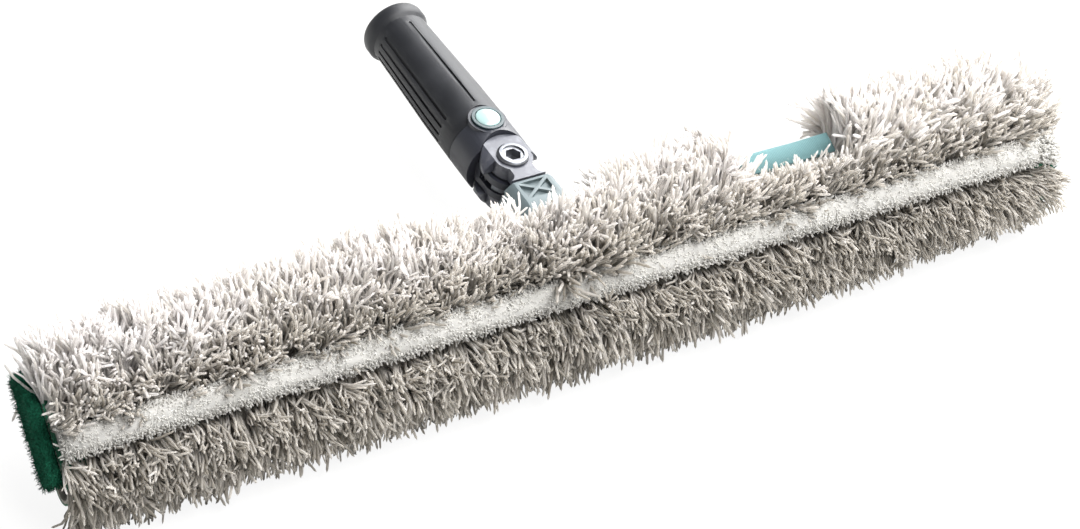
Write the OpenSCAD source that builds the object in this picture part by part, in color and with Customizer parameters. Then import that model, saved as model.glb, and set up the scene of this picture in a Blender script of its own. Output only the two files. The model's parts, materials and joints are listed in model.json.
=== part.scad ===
// Window scrubber: a swivelling T-bar with a pile sleeve that pulls over it.
// Millimetres. X runs along the bar, +Y points along the handle to its free end, +Z is up.
// The front face, with the button and the pivot screw, is uppermost. The sleeve stands on z = 0,
// and the origin is the bottom centre of the whole tool.

/* [Bar] */
// Length of the moulded bar
bar_l = 456; // [330:1:560]
// Width of the bar's flat section
bar_w = 47; // [40:0.5:54]
// Thickness of the bar
bar_t = 8.5; // [8:0.5:12]
// Radius along the bar's long edges
bar_edge_r = 3.9; // [2:0.1:3.9]
// Angle between the bar's flat and the handle
bar_tilt = 38; // [20:1:50]
// Length of one lattice bay of water pockets
bay_l = 33; // [24:1:45]
// Thickness of the lattice ribs
rib_t = 2.2; // [1.4:0.1:3.5]
// Depth of the water pockets in each face
pocket_depth = 3.2; // [1:0.1:3.6]
// Wall left along the bar's long edges and at its ends
bar_wall = 4.5; // [3:0.1:7]
// Length of the drain slots through the web
drain_l = 9; // [4:0.5:12]
// Width of the drain slots
drain_w = 3; // [2:0.1:5]
// Length of the plugs that close the bar's ends
plug_l = 4; // [2:0.5:8]
// How far a plug's tenon reaches into the bar
tenon_l = 9; // [5:0.5:14]
// Wall of the bar round a plug's tenon
tenon_wall = 2; // [1.4:0.1:2.6]
// Radius along the tenon's edges
tenon_r = 1.2; // [0.4:0.1:1.3]

/* [Sleeve] */
// Clearance between the bar and the woven backing
sleeve_gap = 0.3; // [0.1:0.05:1]
// Thickness of the woven backing
backing_t = 1.2; // [0.8:0.1:2.5]
// Room between an end plug and the end pad
end_room = 2.5; // [0.5:0.5:8]
// Height of the pile over the backing's long edges
pile_h = 15.5; // [12:0.2:20]
// Height of the pile over the backing's flats, where its strands lie over
pile_flat_h = 11.6; // [9:0.2:12]
// Length over which the pile rounds off at each end
pile_round = 12; // [6:0.5:20]
// Height of the pile at its very ends
pile_end_h = 7; // [4:0.5:9]
// How far the pile stops short of the backing's ends
pile_inset = 0.5; // [0.2:0.1:2]
// Width of the white stripe
stripe_w = 10.5; // [6:0.5:18]
// How far the stripe lies off the middle of the washing face
stripe_off = 4.2; // [0:0.1:9]
// Height of the stripe's pile
stripe_h = 13.2; // [9:0.2:15]
// Thickness of the scouring pads on the sleeve's ends
pad_t = 5.5; // [3:0.5:9]
// Width of the pads, from the sleeve's handle-side edge
pad_w = 42.5; // [30:0.5:43]
// Rounding of the pads' corners
pad_corner_r = 3; // [1:0.1:6]
// Width of the binding tape round each end of the backing
binding_w = 9; // [5:0.5:15]
// Thickness of the binding tape
binding_t = 0.8; // [0.4:0.1:1.5]
// Width of the hook and loop closure
closure_w = 14; // [8:0.5:18]
// Thickness of each half of the closure
closure_t = 0.9; // [0.5:0.1:1.5]
// Room between the closure and the neck, and between the closure and the binding
closure_margin = 6; // [2:0.5:12]
// Length of the woven loop tab by the handle-side edge
tab_l = 47; // [20:1:70]
// Height of the tab, with its stitched foot
tab_h = 9.4; // [7:0.2:12]
// Height of the foot that is stitched to the flat
tab_foot = 2; // [1:0.5:4]
// Thickness of the folded tab
tab_t = 2; // [1:0.1:3]
// Angle that the tab leans back over the edge
tab_lean = 20; // [0:5:40]
// How much of the tab's top stands clear of the pile behind it
tab_bare = 2; // [1:0.5:4]
// Middle of the tab, to the right of the neck
tab_x = 106; // [60:1:150]

/* [Neck and fork] */
// Distance from the bar's centre line to the pivot
pivot_reach = 62; // [60:0.2:80]
// Outer radius of the round joint
joint_r = 14.8; // [14.2:0.1:16]
// Height of the flat faces above the handle's axis
cheek_h = 12.2; // [11.4:0.1:13]
// Thickness of each ear of the fork
ear_t = 6.4; // [5:0.1:7]
// Radius of the ears above the pivot
ear_r = 13; // [12.5:0.1:13.4]
// Radius of the ears below the pivot
lobe_r = 8.6; // [8.4:0.1:10]
// Width of the ears' stems where they stand on the neck
ear_stem_w = 16.6; // [14:0.1:17.4]
// Width of those stems at their waist
waist_w = 10.6; // [9.6:0.2:13]
// Radius of the scoops that make the waist
waist_r = 4; // [3:0.1:4.6]
// Distance from the pivot down to the middle of the waist
waist_drop = 9.3; // [8.8:0.1:10.4]
// Distance from the pivot down to the seam between the ears and the neck
seam_drop = 15.6; // [15.2:0.1:18]
// Width of the neck where it enters the bar
neck_foot_w = 44; // [34:1:60]
// Width of the ribbed panel in the neck's front face
panel_w = 13.5; // [10:0.5:15]
// Length of that panel
panel_l = 9; // [7:0.5:10]
// Depth of that panel
panel_depth = 1.6; // [0.8:0.1:1.9]
// Thickness of the panel's two crossing ribs
panel_rib = 1.4; // [0.8:0.1:2.5]
// How far the neck's front lip reaches over the ears' tails
lip_l = 1.2; // [0.5:0.1:1.8]
// Width of the open seam between that lip and the ears
seam_gap = 1.2; // [0.2:0.1:1.6]
// How far the washing face's pile laps over the neck's foot
neck_lap = 3; // [0:0.5:6]
// Length of the ears' tails inside the neck
tail_l = 13; // [10:0.5:15]
// Width of the ears' tails
tail_w = 17; // [16:0.5:20]
// Thickness of the ears' tails
tail_t = 2.6; // [2:0.1:2.9]
// Distance between the two neck screws
screw_pitch = 12; // [10:0.5:14]
// Radius of the neck screws
screw_r = 1.6; // [1:0.1:2]
// Radius of the neck screws' heads
screw_head_r = 3; // [2.4:0.1:3.6]
// Height of the neck screws' heads
screw_head_h = 1.8; // [1.2:0.1:1.9]
// Length of the cross recess in the neck screws' heads
cross_l = 3.8; // [2.4:0.1:4.4]
// Width of that recess
cross_w = 0.7; // [0.5:0.05:1.1]
// Depth of that recess
cross_depth = 1.1; // [0.6:0.1:1.5]
// Radius of the pivot screw's shank
shank_r = 4; // [3:0.1:4.5]
// Radius of the pivot screw's ring-shaped head
head_r = 6.8; // [6:0.1:7.2]
// Height of that head over the ear's flat
head_h = 1.6; // [1:0.1:2.5]
// Size across the flats of the head's hexagon recess
hex_af = 6; // [4:0.1:6.6]
// Radius of the dish round the hexagon recess
dish_r = 4.6; // [4:0.1:5]
// Thickness of the friction washers
washer_t = 0.8; // [0.4:0.1:1.4]
// Radius of the friction washers
washer_r = 8.4; // [7:0.1:8.6]

/* [Swivel lock] */
// Thickness of the notched plate
index_t = 2.8; // [2.4:0.1:3.6]
// Radius of the notched plate
index_r = 9.6; // [9:0.1:10]
// Width of the notched plate's stem
index_stem_w = 10.4; // [8:0.2:12]
// Depth of the notches
notch_depth = 2.5; // [2:0.1:3]
// Width of the lock slide's nose
nose_w = 4; // [3:0.1:5]
// Angle between neighbouring notches
notch_step = 45; // [30:15:45]
// Travel of the button, and of the slide that it pushes
press_travel = 2.5; // [1:0.1:2.8]
// Radius of the button's face
button_r = 5.3; // [4:0.1:5.5]
// Outer radius of the button's bezel
bezel_r = 7; // [6.6:0.1:7.1]
// Wall of the boss round the bezel
boss_wall = 1.3; // [1:0.1:2]
// How far the button's dome stands proud of the bezel
dome_h = 1.4; // [0.8:0.1:2.2]
// Distance from the pivot to the button
button_reach = 21.6; // [21.4:0.1:24]
// Wire radius of the button's spring
wire_r = 0.4; // [0.25:0.05:0.5]
// Turns of the button's spring
spring_turns = 3; // [2:0.5:4]

/* [Handle] */
// Distance from the bar's centre line to the handle's free end
handle_reach = 163; // [150:1:200]
// Length of the collar from the ears' tops to the rubber
collar_l = 10; // [9:0.5:16]
// Outer radius of the tube under the rubber
tube_r = 11; // [10.6:0.1:11.4]
// Radius of the pole socket
socket_r = 9.25; // [8:0.05:9.6]
// Depth of the pole socket
socket_depth = 56; // [30:1:58]
// Radius of the rubber next to the collar
grip_big_r = 14.8; // [14:0.1:17]
// Radius of the rubber near its free end
grip_small_r = 12.9; // [12.6:0.1:13.9]
// How far the end bead stands proud
bead_h = 1.6; // [0.6:0.1:3]
// Width of the end bead
bead_w = 7; // [4:0.5:10]
// Number of grooves on each side of the rubber
grooves = 4; // [2:1:5]
// Angle from the front groove to the first side groove
groove_first = 58; // [40:1:70]
// Angle between neighbouring side grooves
groove_step = 16; // [12:1:20]
// Width of a groove
groove_w = 1.3; // [0.8:0.1:2]
// Depth of a groove
groove_depth = 0.8; // [0.4:0.1:1.2]

/* [Fits] */
// Clearance of the pivot in its bush
run_gap = 0.08; // [0.05:0.01:0.1]
// Clearance between flat sliding faces
slide_gap = 0.2; // [0.1:0.05:0.3]
// Clearance between the ears and the handle's hollow end
swing_gap = 0.4; // [0.3:0.05:0.8]
// Clearance of pieces that are pushed together and stay put
seat_gap = 0.05; // [0.02:0.01:0.15]

/* [Hidden] */

fine = 64;
eps = 0.01;

// The sleeve's section, square to X: a flat core with rounded edges, and the pile round it
core_hw = bar_w / 2 + sleeve_gap + backing_t;
core_ht = bar_t / 2 + sleeve_gap + backing_t;
core_r = bar_edge_r + sleeve_gap + backing_t;
corner_y = core_hw - core_r;
corner_z = core_ht - core_r;

// Points round the pile's section in world directions, so that one faces straight down and one
// forwards. The strands stand out straight round the edges and lie over on the flats.
arc_step = 10;
function wave(t) = cos(t) >= 0 ? 1 : -1;
function swell(t) = sin(t) >= 0 ? 1 : -1;
function height_at(t, h) = h * (1 - (1 - pile_flat_h / pile_h) * pow(sin(t), 2));
function section_point(t, h) = let (r = core_r + height_at(t, h)) [
  wave(t) * corner_y + r * cos(t),
  swell(t) * corner_z + r * sin(t)
];
function pile_ring(h) = [for (k = [0 : 360 / arc_step - 1]) section_point(k * arc_step - bar_tilt, h)];
pile_outline = pile_ring(pile_h);
pile_half_y = max([for (p = pile_outline) p[0] * cos(bar_tilt) - p[1] * sin(bar_tilt)]);
pile_half_z = max([for (p = pile_outline) p[0] * sin(bar_tilt) + p[1] * cos(bar_tilt)]);
// The pile is pressed flat by this much where it stands
rest_flat = 0.5;

// Places of the bar, the pivot and the handle in the tool's own frame
axis_z = pile_half_z - rest_flat;
bar_y = -(handle_reach - pile_half_y) / 2;
pivot_y = bar_y + pivot_reach;
end_y = bar_y + handle_reach;
button_y = pivot_y + button_reach;

// Lengths along the bar
plug_end = bar_l / 2 + plug_l;
sleeve_end = plug_end + end_room;
pile_end = sleeve_end - pile_inset;

// Layers of the joint, as heights above the handle's axis
index_h = index_t / 2;
tongue_in = index_h + slide_gap;
ear_in = cheek_h - ear_t;
washer_in = ear_in - washer_t;
tongue_out = washer_in - slide_gap;
tongue_r = washer_r + 2;
bush_r = shank_r + 1.6;
bush_hole_r = shank_r + run_gap;
hole_r = shank_r + seat_gap;

// The neck: its top seam, its swept-out seat and its screws
seam_y = pivot_y - seam_drop;
tail_y = seam_y - tail_l;
screw_y = seam_y - tail_l / 2;
tail_out = ear_in + tail_t;
neck_l = seam_y - bar_y;

// The collar and the lock's parts inside it
hollow_r = ear_r + swing_gap;
// The collar's horns stop where they still pass the ears' stems at a quarter turn
collar_start = pivot_y + ear_stem_w / 2 + swing_gap;
collar_end = pivot_y + ear_r + collar_l;
bezel_top = joint_r + 0.4;
bezel_seat = joint_r - 3.6;
boss_r = bezel_r + boss_wall;
boss_top = joint_r - 0.6;
flange_r = button_r + 0.7;
flange_h = 1.2;
flange_top = bezel_seat;
well_r = flange_r + slide_gap;
well_floor = index_h + slide_gap + 1.5;
stem_w = 5.6;
nose_rest = index_r + 0.6;
// The button's wedge and the slide's tail meet on one 45 degree plane
wedge_y = button_y - 1;
slide_h = index_h;
wedge_gap = 0.15;

// The rubber grip
grip_start = collar_end + seat_gap;
grip_end = end_y;
bead_start = grip_end - bead_w;
groove_start = button_y + boss_r + 3;
groove_end = bead_start - 5;
tube_step = tube_r + seat_gap;

// A closed rounded rectangle of half sizes a and b, made from squares and circles
module rounded_rect(a, b, r) {
  square([2 * a, 2 * (b - r)], center = true);
  square([2 * (a - r), 2 * b], center = true);
  for (sy = [-1, 1], sz = [-1, 1])
    translate([sy * (a - r), sz * (b - r)]) circle(r, $fn = fine);
}

// Puts a shape drawn square to X at the bar: its first axis lies in the bar's flat
module at_bar() {
  translate([0, bar_y, axis_z]) rotate([bar_tilt, 0, 0]) children();
}

// A prism along X whose section is drawn in the bar's flat and thickness
module along_bar(from_x, to_x) {
  translate([from_x, 0, 0]) rotate([90, 0, 90]) linear_extrude(to_x - from_x) children();
}

// A revolved or extruded shape standing on the handle's axis at a given y, along +Y
module along_handle(y) {
  translate([0, y, axis_z]) rotate([-90, 0, 0]) children();
}

// A shape standing on the pivot's axis, with heights counted from the handle's axis
module at_pivot() {
  translate([0, pivot_y, axis_z]) children();
}

module disc(r, from_z, to_z) {
  translate([0, 0, from_z]) cylinder(r = r, h = to_z - from_z, $fn = fine);
}

module ring(r_out, r_in, from_z, to_z) {
  difference() {
    disc(r_out, from_z, to_z);
    disc(r_in, from_z - 1, to_z + 1);
  }
}

// The bar

bay_first = neck_foot_w / 2 + bar_wall;
bay_last = bar_l / 2 - tenon_l - bar_wall;
bays = floor((bay_last - bay_first + rib_t) / (bay_l + rib_t));
bay_h = bar_w - 2 * bar_wall;

// The four triangular pockets of one bay, left by its frame and two crossing ribs
module bay_pockets() {
  difference() {
    square([bay_l, bay_h], center = true);
    for (s = [-1, 1])
      rotate(s * atan2(bay_h, bay_l)) square([2 * bay_l + bay_h, rib_t], center = true);
  }
}

module bay_cut(x) {
  for (side = [-1, 1])
    translate([x, 0, side * (bar_t / 2 - pocket_depth / 2)])
      linear_extrude(pocket_depth + (side > 0 ? eps : 0) + eps, center = true) bay_pockets();
  for (side = [-1, 1])
    translate([x, side * bay_h * 0.3, 0]) cube([drain_l, drain_w, bar_t], center = true);
}

module bar_blank() {
  along_bar(-bar_l / 2, bar_l / 2) rounded_rect(bar_w / 2, bar_t / 2, bar_edge_r);
}

module tenon_shape(gap) {
  rounded_rect(bar_w / 2 - tenon_wall - gap, bar_t / 2 - tenon_wall - gap, tenon_r);
}

// The neck grows out of the bar's middle: round like the joint above it, and flared at its foot
flare_steps = 6;
flare_from = 0.3;
flare_to = 0.75;
function flare(k) = joint_r + (neck_foot_w / 2 - joint_r) * (1 + cos(180 * k)) / 2;

// One half of the neck's outline, from its axis
module neck_half(gap, top) {
  polygon(concat(
    [[0, 0], [neck_foot_w / 2 + gap, 0]],
    [for (i = [0 : flare_steps])
      [flare(i / flare_steps) + gap, neck_l * (flare_from + (flare_to - flare_from) * i / flare_steps)]],
    [[joint_r + gap, top], [0, top]]));
}

module neck_shape(gap, top) {
  intersection() {
    along_handle(bar_y) rotate_extrude($fn = fine) neck_half(gap, top);
    translate([-neck_foot_w, bar_y - 1, axis_z - cheek_h - gap])
      cube([2 * neck_foot_w, top + 2, 2 * (cheek_h + gap)]);
  }
}

// The lip that the neck's flats put over the ears' tails, in front and behind
module neck_lip(gap, open) {
  intersection() {
    joint_round(seam_y - 1, seam_y + lip_l + open, cheek_h);
    for (z = [tail_out + seat_gap - gap, -cheek_h])
      translate([-joint_r, seam_y - 1, axis_z + z])
        cube([2 * joint_r, lip_l + 1 + open, cheek_h - tail_out - seat_gap + gap]);
  }
}

module neck_blank() {
  neck_lip(0, 0);
  difference() {
    neck_shape(0, neck_l);
    // Nothing of the neck stands proud of the bar's washing face
    at_bar() translate([0, 0, bar_t / 2]) linear_extrude(bar_w)
      square([bar_l, 4 * bar_w], center = true);
  }
}

// A slot in the neck that a flat tail is pushed into from above
module tail_slot(from_z, to_z, gap) {
  translate([-tail_w / 2 - gap, tail_y - gap, axis_z + from_z - gap])
    cube([tail_w + 2 * gap, tail_l + gap + 1, to_z - from_z + 2 * gap]);
}

// The ribbed panel sunk into the neck's front face, with two crossing ribs left standing
module neck_panel() {
  translate([0, seam_y - panel_l / 2, axis_z + cheek_h - panel_depth])
    linear_extrude(panel_depth + 1) difference() {
      square([panel_w, panel_l], center = true);
      for (s = [-1, 1])
        rotate(s * atan2(panel_l, panel_w)) square([2 * panel_w, panel_rib], center = true);
    }
}

module t_bar() {
  color("#93a3a6") difference() {
    union() {
      at_bar() bar_blank();
      neck_blank();
    }
    at_bar() for (side = [-1, 1], i = [0 : bays - 1])
      bay_cut(side * (bay_first + bay_l / 2 + i * (bay_l + rib_t)));
    at_bar() for (side = [-1, 1])
      along_bar(side > 0 ? bar_l / 2 - tenon_l - seat_gap : -bar_l / 2 - 1,
        side > 0 ? bar_l / 2 + 1 : -bar_l / 2 + tenon_l + seat_gap) tenon_shape(0);
    tail_slot(ear_in, tail_out, seat_gap);
    tail_slot(-tail_out, -ear_in, seat_gap);
    tail_slot(-index_h, index_h, seat_gap);
    for (s = [-1, 1]) translate([s * screw_pitch / 2, screw_y, axis_z]) {
      disc(screw_r + seat_gap, -cheek_h - 1, tail_out);
      disc(screw_head_r + seat_gap, -cheek_h - 1, -cheek_h + screw_head_h + seat_gap);
    }
    neck_panel();
  }
}

module end_plug(side) {
  color("#3b4044") at_bar() mirror([side > 0 ? 0 : 1, 0, 0]) {
    along_bar(bar_l / 2, plug_end) rounded_rect(bar_w / 2, bar_t / 2, bar_edge_r);
    along_bar(bar_l / 2 - tenon_l, bar_l / 2 + 1) tenon_shape(seat_gap);
  }
}
module end_plug_left() { end_plug(-1); }
module end_plug_right() { end_plug(1); }

// The fork and the pivot

// The round outside that the joint and the collar share, cut flat in front and behind
module joint_round(from_y, to_y, flat) {
  intersection() {
    along_handle(from_y) cylinder(r = joint_r, h = to_y - from_y, $fn = fine);
    translate([-joint_r, from_y, axis_z - flat]) cube([2 * joint_r, to_y - from_y, 2 * flat]);
  }
}

// A large round above the pivot, a small one below it, and a stem with a waist
module ear_plan() {
  intersection() {
    circle(ear_r, $fn = fine);
    translate([-ear_r, 0]) square([2 * ear_r, ear_r]);
  }
  circle(lobe_r, $fn = fine);
  difference() {
    translate([-ear_stem_w / 2, -seam_drop + seat_gap]) square([ear_stem_w, seam_drop - lobe_r / 2]);
    // The scoops run out upwards into the lower round
    for (side = [0, 1]) mirror([side, 0]) translate([waist_w / 2, -waist_drop]) {
      translate([waist_r, 0]) circle(waist_r, $fn = fine);
      square([2 * waist_r, lobe_r]);
    }
  }
}

// One ear, drawn as the front one; its tail lies in the neck
module ear() {
  difference() {
    union() {
      intersection() {
        at_pivot() translate([0, 0, ear_in]) linear_extrude(ear_t) ear_plan();
        joint_round(seam_y, pivot_y + ear_r + 1, cheek_h);
      }
      translate([-tail_w / 2, tail_y, axis_z + ear_in]) cube([tail_w, tail_l + 2, tail_t]);
    }
    neck_lip(seat_gap, seam_gap);
    at_pivot() disc(hole_r, 0, cheek_h + 1);
    for (s = [-1, 1]) translate([s * screw_pitch / 2, screw_y, axis_z])
      disc(screw_r + seat_gap, 0, cheek_h + 1);
  }
}

module front_ear() { color("#8d9096") ear(); }
module back_ear() {
  color("#8d9096") translate([0, 0, 2 * axis_z]) mirror([0, 0, 1]) ear();
}

// The notched plate is fixed in the neck and stands between the two halves of the tongue
module index_plate() {
  color("#c9ccd0") difference() {
    union() {
      at_pivot() disc(index_r, -index_h, index_h);
      translate([-tail_w / 2, tail_y, axis_z - index_h]) cube([tail_w, tail_l, index_t]);
      translate([-index_stem_w / 2, seam_y - 1, axis_z - index_h])
        cube([index_stem_w, seam_drop - shank_r - 1, index_t]);
    }
    at_pivot() disc(hole_r, -index_h - 1, index_h + 1);
    for (a = [-2 : 2]) at_pivot() rotate(a * notch_step)
      translate([-nose_w / 2 - slide_gap, index_r - notch_depth, -index_h - 1])
        cube([nose_w + 2 * slide_gap, notch_depth + 3, index_t + 2]);
    for (s = [-1, 1]) translate([s * screw_pitch / 2, screw_y, axis_z])
      disc(screw_r + seat_gap, -index_h - 1, index_h + 1);
  }
}

// Ring-shaped head with a dish and a hexagon recess, on the front ear's flat
module pivot_screw() {
  color("#c4c6ca") at_pivot() difference() {
    union() {
      disc(shank_r, -ear_in - ear_t / 2, cheek_h + seat_gap);
      translate([0, 0, cheek_h + seat_gap]) {
        cylinder(r = head_r, h = head_h * 0.5, $fn = fine);
        translate([0, 0, head_h * 0.5])
          cylinder(r1 = head_r, r2 = head_r - head_h * 0.5, h = head_h * 0.5, $fn = fine);
      }
    }
    disc(dish_r, cheek_h + head_h * 0.55, cheek_h + head_h + 1);
    translate([0, 0, cheek_h - 3]) cylinder(d = hex_af / cos(30), h = head_h + 4, $fn = 6);
  }
}

// Flanged barrel nut behind the back ear
module pivot_nut() {
  color("#c4c6ca") at_pivot() difference() {
    disc(head_r, -cheek_h - seat_gap - head_h, -cheek_h - seat_gap);
    disc(dish_r, -cheek_h - head_h - 1, -cheek_h - head_h * 0.45);
    translate([0, 0, -cheek_h - head_h - 1]) cylinder(d = hex_af / cos(30), h = head_h, $fn = 6);
  }
  color("#c4c6ca") at_pivot() disc(shank_r, -cheek_h - seat_gap, -ear_in - ear_t / 2 - seat_gap);
}

module friction_washers() {
  color("#e8e6dc") at_pivot() for (s = [-1, 1])
    ring(washer_r, hole_r, s > 0 ? washer_in : -ear_in, s > 0 ? ear_in : -washer_in);
}

module neck_screws() {
  color("#7d8085") for (s = [-1, 1]) translate([s * screw_pitch / 2, screw_y, axis_z])
    difference() {
      union() {
        disc(screw_r, -cheek_h + eps, tail_out - seat_gap);
        disc(screw_head_r, -cheek_h, -cheek_h + screw_head_h);
      }
      for (a = [0, 90]) rotate(a)
        translate([-cross_l / 2, -cross_w / 2, -cheek_h - 1]) cube([cross_l, cross_w, cross_depth + 1]);
    }
}

// The sleeve

// The sleeve's opening for the neck, which leaves the washing face closed
module neck_room(gap) {
  difference() {
    neck_shape(gap, neck_l + pile_h);
    washing_side(core_hw);
  }
}

// All that lies over the bar's washing face, up to a distance from the bar's middle line
module washing_side(reach) {
  at_bar() translate([-neck_foot_w, -2 * core_hw, bar_t / 2])
    cube([2 * neck_foot_w, 2 * core_hw + reach, 2 * core_hw + pile_h]);
}

// In front of the neck the pile is parted, past the short lap that covers the neck's foot
module neck_parting(gap) {
  difference() {
    translate([0, bar_y, axis_z]) linear_extrude(pile_half_z)
      for (side = [0, 1]) mirror([side, 0]) neck_half(gap, neck_l + pile_h);
    washing_side(core_hw + neck_lap);
  }
}

module sleeve_backing() {
  color("#6f6a66") difference() {
    at_bar() along_bar(-sleeve_end, sleeve_end) difference() {
      rounded_rect(core_hw, core_ht, core_r);
      rounded_rect(core_hw - backing_t, core_ht - backing_t, core_r - backing_t);
    }
    neck_room(swing_gap);
  }
}

// The pile's height falls off towards the ends along a quarter round
round_steps = 5;
function end_height(s, h) = pile_end_h + (h - pile_end_h) * sqrt(max(0, 1 - pow(1 - s, 2)));
function end_curve(h) = [for (i = [0 : round_steps])
  [pile_round * i / round_steps - pile_end, end_height(i / round_steps, h)]];
function flip_curve(points) = [for (i = [len(points) - 1 : -1 : 0]) [-points[i][0], points[i][1]]];
pile_stations = concat(end_curve(pile_h), flip_curve(end_curve(pile_h)));

// A skin through rings of equal length, closed by a flat cap at each end
module loft(stations, rings) {
  n = len(rings[0]);
  m = len(stations);
  points = [for (i = [0 : m - 1], p = rings[i]) [stations[i][0], p[0], p[1]]];
  sides = [for (i = [0 : m - 2], k = [0 : n - 1], half = [0, 1])
    let (a = i * n + k, b = i * n + (k + 1) % n, c = a + n, d = b + n)
    half == 0 ? [a, d, b] : [a, c, d]];
  caps = [[for (k = [0 : n - 1]) k], [for (k = [n - 1 : -1 : 0]) (m - 1) * n + k]];
  polyhedron(points, concat(sides, caps));
}

stripe_lo = -stripe_off - stripe_w / 2;

module pile_wrap() {
  color("#a39a8f") difference() {
    at_bar() difference() {
      loft(pile_stations, [for (s = pile_stations) pile_ring(s[1])]);
      along_bar(-sleeve_end - 1, sleeve_end + 1) binding_outline(0);
      translate([-sleeve_end, stripe_lo - seat_gap, 0])
        cube([2 * sleeve_end, stripe_w + 2 * seat_gap, core_ht + 2 * pile_h]);
      closure_room(seat_gap);
      for (side = [-1, 1]) mirror([side > 0 ? 0 : 1, 0, 0])
        along_bar(binding_from - seat_gap, sleeve_end + 1) binding_outline(binding_t + seat_gap);
      tab_room(seat_gap);
    }
    neck_room(2 * swing_gap);
    neck_parting(2 * swing_gap);
    translate([-bar_l, bar_y - 2 * bar_w, -bar_w]) cube([2 * bar_l, 4 * bar_w, bar_w]);
  }
}

// White pile in a straight band, with rounded ends
module stripe_pile() {
  left = end_curve(stripe_h);
  foot = binding_from - seat_gap;
  over = binding_t + seat_gap;
  color("#efece4") at_bar() translate([0, stripe_lo + stripe_w, core_ht + seat_gap])
    rotate([90, 0, 0]) linear_extrude(stripe_w) polygon(concat(
      [[-foot, 0], [-foot, over], [-pile_end, over]], left, flip_curve(left),
      [[pile_end, over], [foot, over], [foot, 0]]));
}

module end_pad(side) {
  color("#12503a") at_bar() mirror([side > 0 ? 0 : 1, 0, 0])
    along_bar(sleeve_end, sleeve_end + pad_t)
      translate([core_hw - pad_w / 2, 0]) rounded_rect(pad_w / 2, core_ht, pad_corner_r);
}
module end_pad_left() { end_pad(-1); }
module end_pad_right() { end_pad(1); }

binding_from = sleeve_end - binding_w;

module binding_outline(t) {
  rounded_rect(core_hw + t, core_ht + t, core_r + t);
}

module end_binding(side) {
  color("#2f6b52") at_bar() mirror([side > 0 ? 0 : 1, 0, 0])
    along_bar(binding_from, sleeve_end) difference() {
      binding_outline(binding_t);
      binding_outline(0);
    }
}
module end_binding_left() { end_binding(-1); }
module end_binding_right() { end_binding(1); }

// The closure lies on the back face, near the handle-side edge, to the right of the neck
closure_from = neck_foot_w / 2 + closure_margin;
closure_to = binding_from - closure_margin;
closure_mid = corner_y - closure_w / 2;

module closure_strip(layer) {
  translate([closure_from, closure_mid - closure_w / 2, -core_ht - (layer + 1) * closure_t])
    cube([closure_to - closure_from, closure_w, closure_t]);
}

module closure_room(gap) {
  translate([closure_from - gap, closure_mid - closure_w / 2 - gap, -core_ht - 2 * closure_t - gap])
    cube([closure_to - closure_from + 2 * gap, closure_w + 2 * gap, 2 * closure_t + gap + 1]);
}

module closure_loop_strip() { color("#4a4d50") at_bar() closure_strip(0); }
module closure_hook_strip() { color("#5d6164") at_bar() closure_strip(1); }

// The folded tab is stitched to the washing face where its flat meets the rounded edge, and
// leans back over that edge
module at_tab() {
  translate([tab_x - tab_l / 2, corner_y, corner_z]) rotate([-tab_lean, 0, 0])
    translate([0, -tab_foot, core_r + seat_gap]) children();
}

// The pile is parted in front of the tab and past it, so that the tab can be gripped
module tab_room(gap) {
  at_tab() {
    translate([-gap, -gap, 0]) cube([tab_l + 2 * gap, 3 * pile_h, 2 * pile_h]);
    translate([-gap, tab_h - tab_bare, -3 * pile_h]) cube([tab_l + 2 * gap, 3 * pile_h, 4 * pile_h]);
  }
}

module loop_tab() { color("#91bebf") at_bar() at_tab() cube([tab_l, tab_h, tab_t]); }

// The handle

// The channel that the lock slide runs in
module slide_channel(gap) {
  translate([-nose_w / 2 - gap, pivot_y, axis_z - slide_h - gap])
    cube([nose_w + 2 * gap, button_reach + stem_w, 2 * (slide_h + gap)]);
}

module handle_body() {
  color("#5a5e66") difference() {
    union() {
      // The two halves of the tongue, round about the pivot
      at_pivot() linear_extrude(2 * tongue_out, center = true) {
        circle(tongue_r, $fn = fine);
        translate([-tongue_r, 0]) square([2 * tongue_r, ear_r + 6]);
      }
      along_handle(collar_start) cylinder(r = joint_r, h = collar_end - collar_start, $fn = fine);
      along_handle(collar_end - 1) cylinder(r = tube_r, h = end_y - collar_end + 1, $fn = fine);
      translate([0, button_y, axis_z]) disc(boss_r, 0, boss_top);
    }
    // Room for the ears in front and behind, and for the notched plate between the halves
    for (s = [-1, 1]) at_pivot()
      disc(hollow_r, s > 0 ? tongue_out : -joint_r - 1, s > 0 ? joint_r + 1 : -tongue_out);
    at_pivot() disc(index_r + swing_gap, -tongue_in, tongue_in);
    translate([-tongue_r - 1, pivot_y - tongue_r - 1, axis_z - tongue_in])
      cube([2 * tongue_r + 2, tongue_r + 1 + index_stem_w / 2 + swing_gap, 2 * tongue_in]);
    at_pivot() disc(bush_r + seat_gap, -tongue_out - 1, tongue_out + 1);
    slide_channel(slide_gap);
    // The button's well, the bezel's seat above it and the room under the stem
    translate([0, button_y, axis_z]) {
      disc(well_r, well_floor, joint_r + 1);
      disc(bezel_r + seat_gap, bezel_seat, joint_r + 1);
      translate([-stem_w / 2 - slide_gap, -stem_w / 2 - slide_gap, -index_h - press_travel - 0.6])
        cube([stem_w + 2 * slide_gap, stem_w + 2 * slide_gap, joint_r]);
    }
    along_handle(end_y - socket_depth) cylinder(r = socket_r, h = socket_depth + 1, $fn = fine);
  }
}

module pivot_bush() {
  color("#d8c48a") at_pivot() for (s = [-1, 1])
    ring(bush_r, bush_hole_r, s > 0 ? tongue_in : -tongue_out, s > 0 ? tongue_out : -tongue_in);
}

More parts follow.
